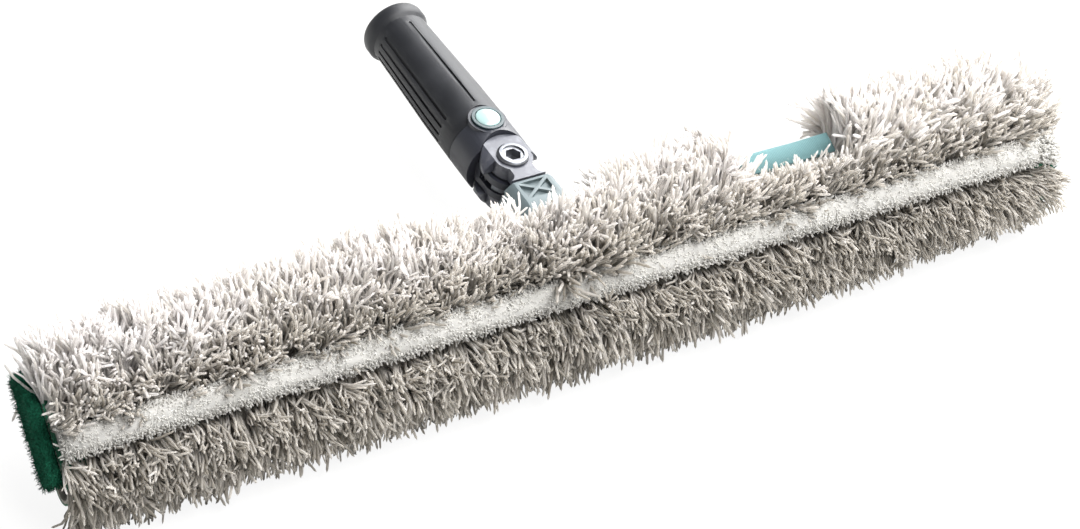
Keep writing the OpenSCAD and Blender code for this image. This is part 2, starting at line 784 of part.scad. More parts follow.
// Outline of the rubber from its axis, from the collar to the bead at the free end
module grip_outline() {
  len = grip_end - grip_start;
  bead_r = grip_small_r + bead_h;
  polygon([
    [tube_step, 0], [grip_big_r - 1, 0], [grip_big_r - 0.3, 0.3], [grip_big_r, 1],
    [grip_big_r - 0.3, len * 0.3], [grip_small_r + 0.5, len * 0.7], [grip_small_r, len - bead_w - 1],
    [bead_r - 0.6, len - bead_w + 0.4], [bead_r, len - bead_w + 1.5], [bead_r, len - 1.8],
    [bead_r - 0.5, len - 0.5], [bead_r - 1.5, len], [tube_step, len]
  ]);
}

module rubber_grip() {
  color("#2a2d33") difference() {
    along_handle(grip_start) rotate_extrude($fn = fine) grip_outline();
    translate([0, button_y, axis_z]) disc(boss_r + seat_gap, 0, 2 * joint_r);
    translate([0, groove_start, axis_z]) {
      groove();
      for (side = [-1, 1], i = [0 : grooves - 1])
        rotate([0, side * (groove_first + i * groove_step), 0]) groove();
    }
  }
}

// One long groove with round ends, following the taper of the rubber
module groove() {
  len = groove_end - groove_start;
  fall = atan((grip_big_r - grip_small_r) / (grip_end - grip_start));
  translate([0, 0, grip_big_r - groove_depth]) rotate([-fall, 0, 0]) {
    translate([-groove_w / 2, groove_w / 2, 0]) cube([groove_w, len - groove_w, 5]);
    for (y = [groove_w / 2, len - groove_w / 2]) translate([0, y, 0])
      cylinder(d = groove_w, h = 5, $fn = 16);
  }
}

module button_bezel() {
  color("#2f4a50") translate([0, button_y, axis_z])
    ring(bezel_r, button_r + slide_gap, bezel_seat + seat_gap, bezel_top);
}

// The part of the button or of its wedge on the handle's free side of the 45 degree plane
module wedge_cut(gap) {
  translate([-stem_w, wedge_y + gap, axis_z]) rotate([45, 0, 0])
    translate([0, -20, -20]) cube([2 * stem_w, 20, 40]);
}

module lock_button() {
  top = bezel_top + dome_h;
  color("#cfe6e4") difference() {
    translate([0, button_y, axis_z]) {
      disc(button_r, flange_top - eps, bezel_top);
      disc(flange_r, flange_top - slide_gap - flange_h, flange_top - slide_gap);
      translate([0, 0, flange_top - slide_gap - eps])
        cylinder(r = button_r, h = slide_gap + 2 * eps, $fn = fine);
      // A dome that is a slice of a ball
      translate([0, 0, bezel_top]) intersection() {
        ball = (button_r * button_r + dome_h * dome_h) / (2 * dome_h);
        translate([0, 0, dome_h - ball]) sphere(ball, $fn = fine);
        disc(button_r, -eps, dome_h + 1);
      }
      translate([-stem_w / 2, -stem_w / 2, -index_h])
        cube([stem_w, stem_w, flange_top - slide_gap + index_h - eps]);
    }
    wedge_cut(wedge_gap);
  }
}

// The slide's tail lies under the button's wedge, its nose stands over the notched plate
module lock_slide() {
  color("#b9bcc2") intersection() {
    translate([-nose_w / 2, pivot_y + nose_rest, axis_z - slide_h])
      cube([nose_w, button_reach, 2 * slide_h]);
    wedge_keep();
  }
}

module wedge_keep() {
  translate([-stem_w, wedge_y, axis_z]) rotate([45, 0, 0])
    translate([0, -60, -60]) cube([2 * stem_w, 60, 120]);
}

// The button's spring stands round the stem, between the well's floor and the flange
spring_low = well_floor + wire_r;
spring_high = flange_top - slide_gap - flange_h - wire_r;
spring_r = well_r - wire_r - 0.35;
spring_sides = 6;
spring_rings = 14;

module button_spring() {
  count = ceil(spring_turns * spring_rings);
  points = [for (i = [0 : count], k = [0 : spring_sides - 1])
    let (a = 360 * spring_turns * i / count, b = 360 * k / spring_sides,
      r = spring_r + wire_r * cos(b))
    [r * cos(a), r * sin(a), spring_low + (spring_high - spring_low) * i / count + wire_r * sin(b)]];
  sides = [for (i = [0 : count - 1], k = [0 : spring_sides - 1], half = [0, 1])
    let (a = i * spring_sides + k, b = i * spring_sides + (k + 1) % spring_sides,
      c = a + spring_sides, d = b + spring_sides)
    half == 0 ? [a, d, b] : [a, c, d]];
  caps = [[for (k = [0 : spring_sides - 1]) k],
    [for (k = [spring_sides - 1 : -1 : 0]) count * spring_sides + k]];
  color("#b0b3b8") translate([0, button_y, axis_z]) polyhedron(points, concat(sides, caps));
}

t_bar();
end_plug_left();
end_plug_right();
front_ear();
back_ear();
index_plate();
pivot_screw();
pivot_nut();
friction_washers();
neck_screws();
sleeve_backing();
pile_wrap();
stripe_pile();
end_pad_left();
end_pad_right();
end_binding_left();
end_binding_right();
closure_loop_strip();
closure_hook_strip();
loop_tab();
handle_body();
pivot_bush();
rubber_grip();
button_bezel();
lock_button();
button_spring();
lock_slide();
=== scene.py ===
import json
import math

import bmesh
import bpy
import numpy as np
from bpy.props import FloatProperty, FloatVectorProperty, IntProperty, PointerProperty
from mathutils import Matrix, Vector, noise


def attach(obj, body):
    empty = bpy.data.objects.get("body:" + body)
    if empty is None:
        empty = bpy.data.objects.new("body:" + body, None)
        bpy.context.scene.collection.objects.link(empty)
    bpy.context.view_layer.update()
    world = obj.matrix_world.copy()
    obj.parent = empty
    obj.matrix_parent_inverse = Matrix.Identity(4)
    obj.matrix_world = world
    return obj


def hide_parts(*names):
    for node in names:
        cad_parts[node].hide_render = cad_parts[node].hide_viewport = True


bl_info = {
    "name": "Window scrubber",
    "version": (1, 0, 0),
    "blender": (4, 5, 0),
    "location": "View3D > Sidebar > Scrubber",
    "description": "Dresses a swivelling T-bar window scrubber and its pile sleeve",
    "category": "Object",
}

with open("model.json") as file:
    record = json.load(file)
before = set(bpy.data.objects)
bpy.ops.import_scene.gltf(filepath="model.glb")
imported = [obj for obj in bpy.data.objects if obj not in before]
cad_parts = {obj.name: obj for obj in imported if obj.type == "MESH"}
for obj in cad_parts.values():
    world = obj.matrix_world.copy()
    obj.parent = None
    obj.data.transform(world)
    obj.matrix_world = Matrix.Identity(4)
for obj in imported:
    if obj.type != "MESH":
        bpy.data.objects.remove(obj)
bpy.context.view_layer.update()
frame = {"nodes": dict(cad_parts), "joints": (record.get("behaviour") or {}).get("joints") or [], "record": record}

MM = 0.001


def srgb(text):
    """A colour written as #rrggbb, in the linear values that the sockets take."""
    channels = [int(text[i:i + 2], 16) / 255 for i in (1, 3, 5)]
    return tuple(c / 12.92 if c <= 0.04045 else ((c + 0.055) / 1.055) ** 2.4 for c in channels)


def colour_property(name, description, default):
    return FloatVectorProperty(name=name, description=description, subtype="COLOR", size=3,
                               default=srgb(default), min=0, max=1)


def length_property(name, description, default):
    return FloatProperty(name=name, description=description, default=default, unit="LENGTH",
                         precision=4)


# Places taken from the frame: the pivot, and the bar's middle in front of it
PIVOT = Vector(next(j["pos_m"] for j in frame["joints"] if j["name"] == "handle_swivel"))
PIVOT_REACH = 62 * MM
BAR = PIVOT - Vector((0, PIVOT_REACH, 0))
BAR_TILT = math.radians(38)
BAR_FRAME = Matrix.Translation(BAR) @ Matrix.Rotation(BAR_TILT, 4, "X")
BAR_HALF_T = 4.25 * MM

# The sleeve's section, square to its length, and its half length
CORE_HALF_W = 25 * MM
CORE_HALF_T = 5.75 * MM
CORE_R = 5.4 * MM
SLEEVE_END = 234.5 * MM
STRIPE_MID = -4.2 * MM
STRIPE_W = 10.5 * MM

# How far the brushed pile may reach along the bar and above the floor. Curled ends go a little
# higher than the rest, and the lowest lie on the floor
PILE_REACH = 249 * MM
PILE_TOP = 71 * MM
CURL_TOP = 73 * MM
FLOOR_GAP = 0.3 * MM

# How the grey pile is brushed, in degrees. A tuft leans away from the stripe, by the first angle
# beside the stripe and by both together on the flats further off, and it turns along the bar
UPPER_LEAN = (-3, 51)
LOWER_LEAN = (32, 28)
LEAN_SCATTER = 12
UPPER_TURN = 20
LOWER_TURN = 22
TURN_SCATTER = 18

# How far a tuft's strands stand apart, in tuft spacings, how strongly they draw together into a
# lock, and how far each strays from its tuft in its way, its curl and its tone
STRAND_SPREAD = 0.6
LOCK_PULL = 0.8
WAY_STRAY = 0.14
CURL_STRAY = 0.3
TONE_STRAY = 0.13

# The neck that comes out of the sleeve, and how far the pile laps over it
NECK_FOOT = 22 * MM
NECK_TOP = 14.8 * MM
NECK_FLAT = 12.2 * MM
NECK_SEAM = PIVOT_REACH - 15.6 * MM
NECK_LAP = 32.5 * MM

# The tab by the handle-side edge
TAB_FROM = 82.5 * MM
TAB_TO = 129.5 * MM
TAB_H = 9.4 * MM
TAB_T = 2 * MM
TAB_FOOT = 2 * MM
TAB_LEAN = math.radians(20)

# The pads on the sleeve's ends
PAD_T = 5.5 * MM
PAD_W = 42.5 * MM


class StageSettings(bpy.types.PropertyGroup):
    lens: FloatProperty(name="Lens", description="Focal length on a 36 mm sensor", default=95.19)
    floor: colour_property("Floor", "Colour of the floor", "#c8c8c6")
    light: FloatProperty(name="Light", description="Level of all the lamps together", default=1.0)
    room: FloatProperty(name="Room", description="Level of the light that comes from all round",
                        default=0.29)


class PileSettings(bpy.types.PropertyGroup):
    length: length_property("Strand length", "Length of a grey strand", 17.5 * MM)
    tuft_gap: length_property("Tuft spacing", "Distance between tufts", 3.3 * MM)
    strands: IntProperty(name="Strands", description="Strands in one tuft", default=10)
    seed: IntProperty(name="Seed", description="Start of the random draws", default=7)
    dark: colour_property("Dark yarn", "Darkest yarn of the mix", "#afa99f")
    mid: colour_property("Grey-brown yarn", "Commonest yarn of the mix", "#e6e2dc")
    light: colour_property("Off-white yarn", "Palest yarn of the mix", "#fbf9f8")
    stripe_h: length_property("Stripe height", "Height of the white pile", 13.0 * MM)
    white: colour_property("Stripe yarn", "Yarn of the white stripe", "#faf9f6")


class SleeveSettings(bpy.types.PropertyGroup):
    backing: colour_property("Backing", "Colour of the woven backing", "#aaa59d")
    binding: colour_property("Binding", "Colour of the binding tapes", "#2f6b52")
    tab: colour_property("Tab", "Colour of the loop tab", "#698e91")
    pad: colour_property("Pad", "Colour of the scouring pads", "#14553f")


class HandleSettings(bpy.types.PropertyGroup):
    rubber: colour_property("Rubber", "Colour of the grip", "#14161c")
    nylon: colour_property("Nylon", "Colour of the handle's body", "#2f3139")
    ears: colour_property("Ears", "Colour of the fork", "#4b4d56")
    button: colour_property("Button", "Colour of the button", "#a3bfbd")
    bezel: colour_property("Bezel", "Colour of the button's bezel", "#22383d")
    bar: colour_property("Bar", "Colour of the bar and its neck", "#5f6b6e")


# Materials

def add(tree, kind, feeds=None, **settings):
    """Adds one shader node. Feeds maps its inputs to values, or to the sockets that drive them,
    or to nodes whose first output does."""
    made = tree.nodes.new("ShaderNode" + kind)
    for key, value in settings.items():
        setattr(made, key, value)
    for socket, value in (feeds or {}).items():
        if isinstance(value, bpy.types.Node):
            value = value.outputs[0]
        if isinstance(value, bpy.types.NodeSocket):
            tree.links.new(value, made.inputs[socket])
        else:
            made.inputs[socket].default_value = value
    return made


def blank_material(name):
    """A material with its node tree, and the places on the object, in metres, to put patterns."""
    made = bpy.data.materials.new(name)
    made.use_nodes = True
    tree = made.node_tree
    tree.nodes.clear()
    return made, tree, add(tree, "TexCoord").outputs["Object"]


def surfaced(material, shader):
    """The material, with the shader for its surface."""
    add(material.node_tree, "OutputMaterial", {"Surface": shader})
    return material


def rgba(colour):
    return (*colour, 1.0)


def patches(tree, place, size, detail, low, high, span=(0.0, 1.0)):
    """A value that drifts from low to high in patches of a size, as a noise crosses the span."""
    cloud = add(tree, "TexNoise", {"Vector": place, "Scale": 1 / size, "Detail": detail})
    return add(tree, "MapRange", {
        "Value": cloud, "From Min": span[0], "From Max": span[1], "To Min": low, "To Max": high})


def wave_scale(pitch):
    """The scale at which a wave texture has one band to each pitch: 20 times the scaled place is
    the wave's phase."""
    return math.pi / 10 / pitch


def tinted_yarn(name, stops, mottling, loose):
    """Acrylic yarn, tufted and cut: a soft, matt mix in which every strand has its own tone, from its
    dye and, on the grey pile's handle side, partly from painted light; each is mottled along its
    length where its fibres twist."""
    made, tree, place = blank_material(name)
    # The tone is a strand's dye, and on the grey pile's handle side partly painted light
    tone = add(tree, "Attribute", attribute_name="tone")
    dye = add(tree, "ValToRGB", {"Fac": tone.outputs["Fac"]})
    for element, (share, colour) in zip(dye.color_ramp.elements, (stops[0], stops[-1])):
        element.position = share
        element.color = rgba(colour)
    for share, colour in stops[1:-1]:
        dye.color_ramp.elements.new(share).color = rgba(colour)
    # The fibres twist about once in a millimetre
    mottle = patches(tree, place, 1 * MM, 2.0, 1 - mottling, 1 + mottling)
    colour = add(tree, "VectorMath", {0: dye, 1: mottle}, operation="MULTIPLY")
    fibre = add(tree, "BsdfPrincipled", {
        "Base Color": colour, "Roughness": 0.85, "IOR": 1.5,
        "Specular IOR Level": 0.15, "Sheen Weight": 0.6, "Sheen Roughness": 0.45})
    # Light goes through the loose fibres, which softens each strand's shaded side
    through = add(tree, "BsdfTranslucent", {"Color": colour})
    soft = add(tree, "MixShader", {"Fac": loose, 1: fibre, 2: through})
    return surfaced(made, soft)


def moulded(name, colour, roughness, grain, depth, coat=0.0):
    """Injection-moulded plastic: the mould's spark-eroded grain as a fine bump, slow clouds where
    the melt flowed, and patches that handling has polished."""
    made, tree, place = blank_material(name)
    spark = add(tree, "TexNoise", {"Vector": place, "Scale": 1 / grain, "Detail": 3.0})
    bump = add(tree, "Bump", {"Height": spark, "Strength": 0.5, "Distance": depth})
    shade = patches(tree, place, 25 * MM, 3.0, 0.93, 1.07)
    tint = add(tree, "VectorMath", {0: colour, 1: shade}, operation="MULTIPLY")
    worn = patches(tree, place, 25 * MM, 3.0, roughness - 0.07, roughness + 0.07, (0.3, 0.7))
    skin = add(tree, "BsdfPrincipled", {
        "Base Color": tint, "Roughness": worn, "IOR": 1.5,
        "Coat Weight": coat, "Coat Roughness": 0.12, "Normal": bump})
    return surfaced(made, skin)


def lacquered(name, colour):
    """Stoved lacquer on a zinc casting: a satin skin with faint orange peel, and paler patches
    where hands have rubbed it."""
    made, tree, place = blank_material(name)
    peel = add(tree, "TexNoise", {"Vector": place, "Scale": 1 / (0.8 * MM), "Detail": 2.0})
    bump = add(tree, "Bump", {"Height": peel, "Strength": 0.25, "Distance": 0.05 * MM})
    rubbed = patches(tree, place, 8.3 * MM, 4.0, 0.0, 0.25, (0.5, 0.8))
    tint = add(tree, "Mix", {
        "Factor": rubbed, "A": rgba(colour), "B": rgba(srgb("#d3d5da"))}, data_type="RGBA")
    gloss = patches(tree, place, 8.3 * MM, 4.0, 0.3, 0.42)
    skin = add(tree, "BsdfPrincipled", {
        "Base Color": tint.outputs["Result"], "Roughness": gloss, "Metallic": 0.1,
        "Coat Weight": 0.15, "Coat Roughness": 0.3, "Normal": bump})
    return surfaced(made, skin)


def turned_steel(name, colour):
    """Turned stainless steel: a bright face with fine rings round the pivot's axis, 0.25 mm apart,
    and duller finger marks."""
    made, tree, place = blank_material(name)
    centred = add(tree, "Mapping", {"Vector": place, "Location": -PIVOT})
    rings = add(tree, "TexWave", {
        "Vector": centred, "Scale": wave_scale(0.25 * MM), "Distortion": 0.4,
        "Detail": 1.0}, wave_type="RINGS", rings_direction="Z")
    bump = add(tree, "Bump", {
        "Height": rings.outputs["Fac"], "Strength": 0.25, "Distance": 0.02 * MM})
    rough = patches(tree, place, 3.3 * MM, 3.0, 0.3, 0.5)
    skin = add(tree, "BsdfPrincipled", {
        "Base Color": rgba(colour), "Metallic": 1.0, "Roughness": rough,
        "Normal": bump})
    return surfaced(made, skin)


def rolled_steel(name, colour, roughness, stretch):
    """Stamped or drawn steel: streaks in the rolling direction, drawn 0.4 mm apart so that they
    show, over a cloudy grey."""
    made, tree, place = blank_material(name)
    pulled = add(tree, "Mapping", {"Vector": place, "Scale": stretch})
    streak = add(tree, "TexNoise", {"Vector": pulled, "Scale": 1 / (0.4 * MM), "Detail": 2.0})
    bump = add(tree, "Bump", {"Height": streak, "Strength": 0.3, "Distance": 0.02 * MM})
    rough = patches(tree, place, 5 * MM, 3.0, roughness - 0.08, roughness + 0.1)
    skin = add(tree, "BsdfPrincipled", {
        "Base Color": rgba(colour), "Metallic": 1.0, "Roughness": rough,
        "Normal": bump})
    return surfaced(made, skin)


def moulded_rubber(name, colour):
    """Thermoplastic rubber: a matt, slightly dusty skin with a fine leather-like grain that gives
    a broad, soft sheen."""
    made, tree, place = blank_material(name)
    # Grain of 0.36 mm
    grain = add(tree, "TexVoronoi", {"Vector": place, "Scale": 2800.0})
    bump = add(tree, "Bump", {"Height": grain, "Strength": 0.18, "Distance": 0.05 * MM})
    dust = patches(tree, place, 16.7 * MM, 5.0, 0.0, 0.05, (0.45, 0.8))
    tint = add(tree, "Mix", {
        "Factor": dust, "A": rgba(colour), "B": rgba(srgb("#8d9096"))}, data_type="RGBA")
    rough = patches(tree, place, 16.7 * MM, 5.0, 0.46, 0.6)
    skin = add(tree, "BsdfPrincipled", {
        "Base Color": tint.outputs["Result"], "Roughness": rough, "IOR": 1.52,
        "Sheen Weight": 0.3, "Sheen Roughness": 0.3, "Normal": bump})
    return surfaced(made, skin)


def woven(name, colour, thread, rib, fuzz=0.25):
    """Woven tape or cloth: warp and weft cross in the piece's own UV map, which is in metres.
    The threads give a fine bump and a two-tone check, and the yarn a soft sheen."""
    made, tree, place = blank_material(name)
    weave = add(tree, "TexCoord").outputs["UV"]
    warp, weft = (add(tree, "TexWave", {
        "Vector": weave, "Scale": wave_scale(pitch), "Distortion": 0.6, "Detail": 1.0},
        bands_direction=way) for pitch, way in ((thread, "X"), (rib, "Y")))
    check = add(tree, "Math", {0: warp.outputs["Fac"], 1: weft.outputs["Fac"]},
                operation="MULTIPLY")
    bump = add(tree, "Bump", {"Height": check, "Strength": 0.6, "Distance": 0.2 * MM})
    # Wear and dirt in clouds about 11 mm across
    dirt = add(tree, "TexNoise", {"Vector": place, "Scale": 90.0, "Detail": 4.0})
    light = add(tree, "Math", {0: check, 1: dirt})
    shade = add(tree, "MapRange", {"Value": light, "From Max": 2.0, "To Min": 0.75, "To Max": 1.25})
    tint = add(tree, "VectorMath", {0: colour, 1: shade}, operation="MULTIPLY")
    cloth = add(tree, "BsdfPrincipled", {
        "Base Color": tint, "Roughness": 0.85, "Specular IOR Level": 0.3,
        "Sheen Weight": fuzz, "Sheen Roughness": 0.5, "Normal": bump})
    return surfaced(made, cloth)


def scouring_fleece(name, colour):
    """Non-woven nylon fleece bonded with grit: dull dark green, with painted shade that follows its
    relief, darker where its tangle of fibres dips and in the holes between them, about 1 mm across."""
    made, tree, place = blank_material(name)
    tangle = add(tree, "TexNoise", {
        "Vector": place, "Scale": 900.0, "Detail": 6.0, "Distortion": 1.2})
    holes = add(tree, "TexVoronoi", {"Vector": place, "Scale": 1 / (1 * MM)})
    depth = add(tree, "Math", {0: tangle, 1: holes})
    bump = add(tree, "Bump", {"Height": depth, "Strength": 0.8, "Distance": 0.5 * MM})
    # Painted shade: the colour darkens where the relief is low
    shade = add(tree, "MapRange", {
        "Value": depth, "From Min": 0.4, "From Max": 1.3,
        "To Min": 0.6, "To Max": 1.25})
    tint = add(tree, "VectorMath", {0: colour, 1: shade}, operation="MULTIPLY")
    fibre = add(tree, "BsdfPrincipled", {
        "Base Color": tint, "Roughness": 0.9, "Specular IOR Level": 0.2,
        "Normal": bump})
    return surfaced(made, fibre)


# Shapes

def add_object(name, mesh, material):
    made = bpy.data.objects.new(name, mesh)
    bpy.context.scene.collection.objects.link(made)
    mesh.materials.clear()
    mesh.materials.append(material)
    return made


def from_bmesh(name, shape, material, smooth=True):
    mesh = bpy.data.meshes.new(name)
    shape.to_mesh(mesh)
    shape.free()
    if smooth:
        mesh.shade_smooth()
    return add_object(name, mesh, material)


def thicken(piece, thickness):
    """Gives cloth its thickness, half to each side."""
    wall = piece.modifiers.new("Thickness", "SOLIDIFY")
    wall.thickness = thickness
    wall.offset = 0


def map_cloth(shape, flat_place):
    """Gives cloth a UV map in metres, from a function of its points."""
    layer = shape.loops.layers.uv.new("UVMap")
    for face in shape.faces:
        for loop in face.loops:
            loop[layer].uv = flat_place(loop.vert)


def extruded(shape, edges):
    """Extrudes the edges, and gives the new points and the new edges between them."""
    made = bmesh.ops.extrude_edge_only(shape, edges=edges)["geom"]
    row = [g for g in made if isinstance(g, bmesh.types.BMVert)]
    return row, [g for g in made if isinstance(g, bmesh.types.BMEdge)
                 and all(v in row for v in g.verts)]


def declare(piece, body, slot, *nodes):
    """Says what carries the piece and which CAD nodes it stands for, which it hides; the slot, for its finish, is
    not used.
    """
    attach(piece, body)
    if nodes:
        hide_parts(*nodes)
    return piece


def eased_copy(node, body, slot, material, width=0.25 * MM):
    """A copy of a CAD node whose sharp edges are rounded, as moulding and tumbling leave them."""
    mesh = frame["nodes"][node].data.copy()
    shape = bmesh.new()
    shape.from_mesh(mesh)
    bmesh.ops.remove_doubles(shape, verts=shape.verts, dist=0.002 * MM)
    bmesh.ops.dissolve_limit(shape, angle_limit=math.radians(0.5), verts=shape.verts,
                             edges=shape.edges, use_dissolve_boundaries=False)
    shape.to_mesh(mesh)
    shape.free()
    piece = add_object("eased_" + node, mesh, material)
    rounding = piece.modifiers.new("Edges", "BEVEL")
    rounding.width = width
    rounding.segments = 2
    rounding.limit_method = "ANGLE"
    rounding.angle_limit = math.radians(35)
    rounding.use_clamp_overlap = True
    rounding.harden_normals = True
    mesh.shade_smooth()
    mesh.set_sharp_from_angle(angle=math.radians(35))
    return declare(piece, body, slot, node)


def strand(bend, wave, root_r, tip_r, sides, steps):
    """Points and faces of one strand of unit length. It stands on its root and bends towards +X.
    The last of its steps is the blunt cut end. Radii and steps are shares of its length."""
    shape = bmesh.new()
    ring = bmesh.ops.create_circle(shape, segments=sides, radius=root_r)["verts"]
    edges = list(shape.edges)
    radius, share = root_r, 0.0
    for step in steps:
        ring, edges = extruded(shape, edges)
        centre = sum((v.co for v in ring), Vector()) / len(ring)
        lean = bend * (share + step / 2)
        share += step
        target = root_r + (tip_r - root_r) * share ** 2
        bmesh.ops.scale(shape, verts=ring, vec=(target / radius,) * 3,
                        space=Matrix.Translation(-centre))
        radius = target
        bmesh.ops.rotate(shape, verts=ring, cent=centre,
                         matrix=Matrix.Rotation(bend * step, 3, "Y"))
        bmesh.ops.translate(shape, verts=ring, vec=(
            step * math.sin(lean), step * wave * math.cos(2 * math.pi * share),
            step * math.cos(lean)))
    tip = sum((v.co for v in ring), Vector()) / len(ring)
    bmesh.ops.pointmerge(shape, verts=ring, merge_co=tip)
    bmesh.ops.recalc_face_normals(shape, faces=shape.faces)
    shape.verts.index_update()
    points = np.array([v.co for v in shape.verts])
    faces = [[v.index for v in f.verts] for f in shape.faces]
    shape.free()
    return points, faces


def unit(vectors):
    return vectors / np.linalg.norm(vectors, axis=-1, keepdims=True)


def ramp(values, start, length):
    """Rises from 0 at the start to 1 a length further on."""
    return np.clip((values - start) / length, 0, 1)


def section(around):
    """Points and outward normals of the sleeve's section, at distances round it from the middle
    of the washing face, first towards the handle. Both are in the bar's own directions."""
    flat = CORE_HALF_W - CORE_R
    side = CORE_HALF_T - CORE_R
    quarter = math.pi / 2 * CORE_R
    way = np.where(around >= 0, 1.0, -1.0)
    s = np.abs(around)
    turn = np.select(
        [s < flat, s < flat + quarter, s < flat + quarter + 2 * side,
         s < flat + 2 * quarter + 2 * side],
        [0 * s, (s - flat) / CORE_R, 0 * s + math.pi / 2,
         math.pi / 2 + (s - flat - quarter - 2 * side) / CORE_R], math.pi)
    y = np.select([s < flat, s < HALF_ROUND - flat], [s, flat + CORE_R * np.sin(turn)],
                  HALF_ROUND - s)
    z = np.select(
        [s < flat + quarter, s < flat + quarter + 2 * side],
        [side + CORE_R * np.cos(turn), side - (s - flat - quarter)],
        -side + CORE_R * np.cos(turn))
    points = np.stack([np.zeros_like(s), way * y, z], axis=-1)
    normals = np.stack([np.zeros_like(s), way * np.sin(turn), np.cos(turn)], axis=-1)
    return points, normals


# Half the way round the section
HALF_ROUND = (2 * (CORE_HALF_W - CORE_R) + math.pi * CORE_R + 2 * (CORE_HALF_T - CORE_R))


def once_round(around):
    """The same places on the section, measured the shorter way round."""
    return (around + HALF_ROUND) % (2 * HALF_ROUND) - HALF_ROUND


def to_world(vectors):
    """Turns the bar's own directions to the tool's."""
    c, s = math.cos(BAR_TILT), math.sin(BAR_TILT)
    x, y, z = vectors[..., 0], vectors[..., 1], vectors[..., 2]
    return np.stack([x, c * y - s * z, s * y + c * z], axis=-1)


def on_bar(points):
    """Takes points from the bar's own directions and middle to their places."""
    return to_world(points) + np.array(BAR)


def neck_half_width(y):
    """Half the width of the room that the neck takes, at a distance from the bar's middle."""
    share = ramp(y / NECK_SEAM, 0.3, 0.45)
    return NECK_TOP + (NECK_FOOT - NECK_TOP) * (1 + np.cos(np.pi * share)) / 2


def in_neck(points, gap):
    """Which points of the sleeve, in the bar's own directions, lie where the neck comes out."""
    world = to_world(points)
    inside = (world[:, 1] > 0) & (np.abs(world[:, 0]) < neck_half_width(world[:, 1]) + gap)
    return inside & (np.abs(world[:, 2]) < NECK_FLAT + gap) & (points[:, 2] < BAR_HALF_T)


def wrapped(name, around, along, lift, thickness, step, material):
    """Cloth wrapped on the sleeve's section, between two distances round it and along it."""
    cells = [max(1, round((b - a) / step)) for a, b in (along, around)]
    shape = bmesh.new()
    bmesh.ops.create_grid(shape, x_segments=cells[0], y_segments=cells[1], size=1)
    flat = np.array([v.co for v in shape.verts])[:, :2] / 2 + 0.5
    x = along[0] + flat[:, 0] * (along[1] - along[0])
    s = around[0] + flat[:, 1] * (around[1] - around[0])
    points, normals = section(s)
    points[:, 0] = x
    shape.verts.index_update()
    map_cloth(shape, lambda vert: (x[vert.index], s[vert.index]))
    opening = in_neck(points, 0.6 * MM)
    for vert, place in zip(shape.verts, on_bar(points + normals * (lift + thickness / 2))):
        vert.co = place
    gone = [v for v, cut in zip(shape.verts, opening) if cut]
    bmesh.ops.delete(shape, geom=gone, context="VERTS")
    bmesh.ops.remove_doubles(shape, verts=shape.verts, dist=0.01 * MM)
    piece = from_bmesh(name, shape, material)
    thicken(piece, thickness)
    return piece


# The pile

def plant(templates, kind, roots, towards, bending, lengths):
    """Copies of the templates. Each stands on its root, points one way and bends to another."""
    z = unit(towards)
    x = unit(bending - (bending * z).sum(-1, keepdims=True) * z)
    basis = np.stack([x, np.cross(z, x), z], axis=-1) * lengths[:, None, None]
    return [np.einsum("nij,vj->nvi", basis[kind == i], points) + roots[kind == i, None, :]
            for i, (points, _) in enumerate(templates)]


def mark_tone(mesh, tone):
    """Tells the yarn's material each point's tone: its dye, and on the grey pile partly painted light."""
    mesh.attributes.new("tone", "FLOAT", "POINT").data.foreach_set(
        "value", np.full(len(mesh.vertices), tone, np.float32))


def pile_mesh(name, templates, kind, grown, tones):
    """One mesh from all the copies. The points of a copy share its tone."""
    verts = np.concatenate([p.reshape(-1, 3) for p in grown])
    starts = np.cumsum([0] + [p.shape[0] * p.shape[1] for p in grown[:-1]])
    loops, sizes, shades = [], [], []
    for i, (start, p, (_, faces)) in enumerate(zip(starts, grown, templates)):
        first = start + np.arange(p.shape[0]) * p.shape[1]
        loops.append((first[:, None] + np.concatenate(faces)[None, :]).ravel())
        sizes.append(np.tile([len(f) for f in faces], p.shape[0]))
        shades.append(np.repeat(tones[kind == i], p.shape[1]))
    loops, sizes = np.concatenate(loops), np.concatenate(sizes)
    mesh = bpy.data.meshes.new(name)
    mesh.vertices.add(len(verts))
    mesh.vertices.foreach_set("co", verts.astype(np.float32).ravel())
    mesh.loops.add(len(loops))
    mesh.loops.foreach_set("vertex_index", loops.astype(np.int32))
    mesh.polygons.add(len(sizes))
    mesh.polygons.foreach_set("loop_start", (np.cumsum(sizes) - sizes).astype(np.int32))
    mesh.polygons.foreach_set("use_smooth", np.ones(len(sizes), bool))
    mesh.update(calc_edges=True)
    mark_tone(mesh, np.concatenate(shades))
    return mesh


def grow_pieces(title, count, material, templates, kind, roots, way, bending, lengths, tones):
    """Splits the strands into pieces along the bar, each a mesh of its own."""
    groups = np.clip(((roots[:, 0] / SLEEVE_END + 1) / 2 * count).astype(int), 0, count - 1)
    pieces = []
    for g in range(count):
        mine = groups == g
        grown = plant(templates, kind[mine], roots[mine], way[mine], bending[mine], lengths[mine])
        for points in grown:
            # Strands that would dip under the floor lie flat on it, and the few that curl above
            # the rest are cut level
            points[..., 2] = np.clip(points[..., 2], FLOOR_GAP, CURL_TOP)
        name = f"{title}_{g + 1}"
        mesh = pile_mesh(name, templates, kind[mine], grown, tones[mine])
        pieces.append(add_object(name, mesh, material))
    return pieces


ALONG_BAR = np.array([1.0, 0, 0])


